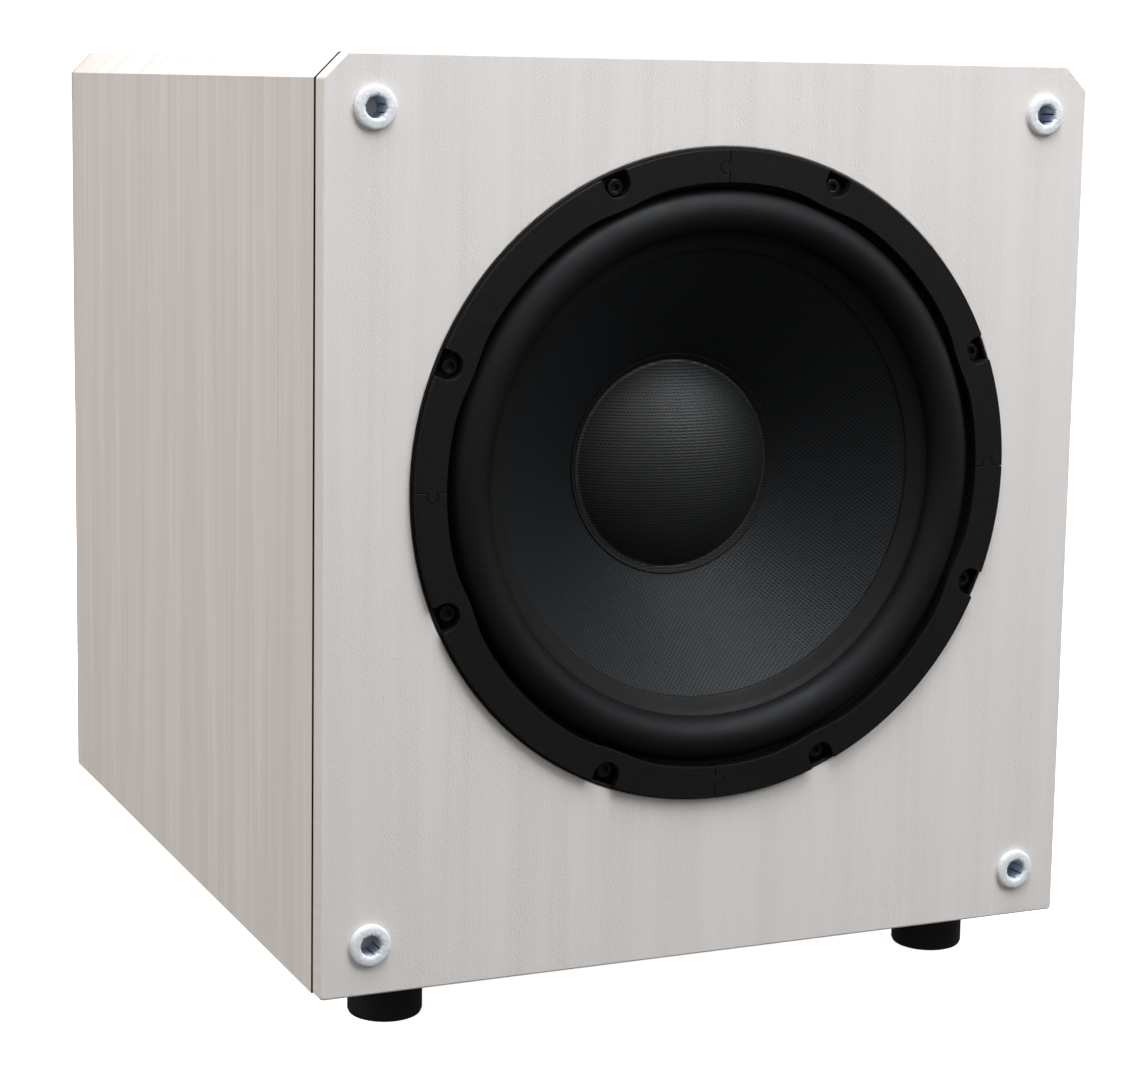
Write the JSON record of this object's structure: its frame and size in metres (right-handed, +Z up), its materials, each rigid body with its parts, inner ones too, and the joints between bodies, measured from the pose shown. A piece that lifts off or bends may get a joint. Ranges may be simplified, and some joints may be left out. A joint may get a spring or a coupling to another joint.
{
  "type": "powered subwoofer",
  "caption": "Powered subwoofer in a white ash board cabinet on rubber feet, with a 12 inch driver in front and an amplifier plate and port behind",
  "frame": {"origin": "on the floor under the middle of the object's box, at the underside of the feet", "axes": "+Z up; the driver's side faces -Y; +X is the right-hand side seen from the front"},
  "size_m": [0.396, 0.4908, 0.455],
  "materials": {
    "white_ash_foil": "white ash wood print on foil, fine raised grain",
    "raw_board": "bare fibre board",
    "black_board": "black foil on board",
    "polyester_wadding": "loose white fibre",
    "white_socket_plastic": "slightly mottled",
    "black_rubber": "satin",
    "foam_seal": "matt foam",
    "zinc_steel": "zinc plated",
    "black_screws": "black oxide",
    "black_cast_metal": "black powder coat",
    "ferrite": "matt grey",
    "coated_paper": "woven texture, soft sheen",
    "cap_cloth": "woven, doped",
    "coil_card": "plain",
    "copper": "bare copper",
    "cable_red": "satin sleeve",
    "black_plastic": "fine texture",
    "red_plastic": "smooth",
    "black_panel_metal": "fine powder coat",
    "board_green": "lacquered",
    "capacitor_sleeve": "shrink sleeve",
    "gold_plate": "bright",
    "led_lens": "clear tinted"
  },
  "bodies": {
    "cabinet": {"left_panel": "white_ash_foil", "right_panel": "white_ash_foil", "top_panel": "white_ash_foil", "bottom_panel": "white_ash_foil", "rear_panel": "white_ash_foil", "sub_baffle": "black_board", "front_baffle": "white_ash_foil", "window_brace": "raw_board", "damping_pads": "polyester_wadding", "grille_sockets": "white_socket_plastic", "feet": "black_rubber", "foot_screws": "zinc_steel", "trim_segment_1": "black_rubber", "trim_segment_2": "black_rubber", "trim_segment_3": "black_rubber", "trim_segment_4": "black_rubber", "driver_screws": "black_screws", "tee_nuts": "zinc_steel", "driver_seal": "foam_seal", "basket": "black_cast_metal", "surround": "black_rubber", "spider": "cap_cloth", "front_plate": "zinc_steel", "magnet": "ferrite", "pole_yoke": "zinc_steel", "terminal_block": "coil_card", "tinsel_leads": "copper", "speaker_cable": "cable_red", "port_tube": "black_plastic", "port_flare": "black_plastic", "amp_plate": "black_panel_metal", "amp_seal": "foam_seal", "amp_screws": "black_screws", "circuit_board": "board_green", "capacitors": "capacitor_sleeve", "heat_sink": "black_panel_metal", "transformer": "copper", "amp_housing": "raw_board", "potentiometers": "zinc_steel", "slide_switches": "black_plastic", "rca_shells": "gold_plate", "rca_insulators": "white_socket_plastic", "clip_block": "black_plastic", "mains_inlet": "black_plastic", "power_switch": "black_plastic", "status_led": "led_lens"},
    "diaphragm": {"cone": "coated_paper", "dust_cap": "cap_cloth", "coil_former": "coil_card", "coil_winding": "copper"},
    "level_dial": {"level_knob": "black_plastic"},
    "crossover_dial": {"crossover_knob": "black_plastic"},
    "phase_key": {"phase_slider": "black_plastic"},
    "mode_key": {"mode_slider": "black_plastic"},
    "fuse_holder": {"fuse_drawer": "black_plastic"},
    "rocker": {"power_rocker": "black_plastic"},
    "clip_1": {"clip_lever_1": "red_plastic"},
    "clip_2": {"clip_lever_2": "black_plastic"},
    "clip_3": {"clip_lever_3": "red_plastic"},
    "clip_4": {"clip_lever_4": "black_plastic"}
  },
  "joints": [
    {"name": "cone_stroke", "type": "slide", "parent": "cabinet", "child": "diaphragm", "axis": [0, -1, 0], "range_m": [-0.012, 0.012], "stiffness_N_per_m": 4500, "deforming": ["surround", "spider", "tinsel_leads"]},
    {"name": "level_turn", "type": "hinge", "parent": "cabinet", "child": "level_dial", "pos_m": [0.052, 0.2304, 0.272], "axis": [0, -1, 0], "range_deg": [-150, 150]},
    {"name": "crossover_turn", "type": "hinge", "parent": "cabinet", "child": "crossover_dial", "pos_m": [0, 0.2304, 0.272], "axis": [0, -1, 0], "range_deg": [-150, 150]},
    {"name": "phase_slide", "type": "slide", "parent": "cabinet", "child": "phase_key", "axis": [1, 0, 0], "range_m": [0, 0.006]},
    {"name": "mode_slide", "type": "slide", "parent": "cabinet", "child": "mode_key", "axis": [1, 0, 0], "range_m": [0, 0.006]},
    {"name": "fuse_pull", "type": "slide", "parent": "cabinet", "child": "fuse_holder", "axis": [0, 1, 0], "range_m": [0, 0.014]},
    {"name": "rocker_tip", "type": "hinge", "parent": "cabinet", "child": "rocker", "pos_m": [0, 0.2309, 0.088], "axis": [1, 0, 0], "range_deg": [-20, 0]},
    {"name": "clip_1_press", "type": "hinge", "parent": "cabinet", "child": "clip_1", "pos_m": [-0.0765, 0.2329, 0.1765], "axis": [1, 0, 0], "range_deg": [-12, 0], "stiffness_Nm_per_rad": 0.25, "springref_deg": 20.05},
    {"name": "clip_2_press", "type": "hinge", "parent": "cabinet", "child": "clip_2", "pos_m": [-0.0575, 0.2329, 0.1765], "axis": [1, 0, 0], "range_deg": [-12, 0], "stiffness_Nm_per_rad": 0.25, "springref_deg": 20.05},
    {"name": "clip_3_press", "type": "hinge", "parent": "cabinet", "child": "clip_3", "pos_m": [-0.0385, 0.2329, 0.1765], "axis": [1, 0, 0], "range_deg": [-12, 0], "stiffness_Nm_per_rad": 0.25, "springref_deg": 20.05},
    {"name": "clip_4_press", "type": "hinge", "parent": "cabinet", "child": "clip_4", "pos_m": [-0.0195, 0.2329, 0.1765], "axis": [1, 0, 0], "range_deg": [-12, 0], "stiffness_Nm_per_rad": 0.25, "springref_deg": 20.05}
  ]
}
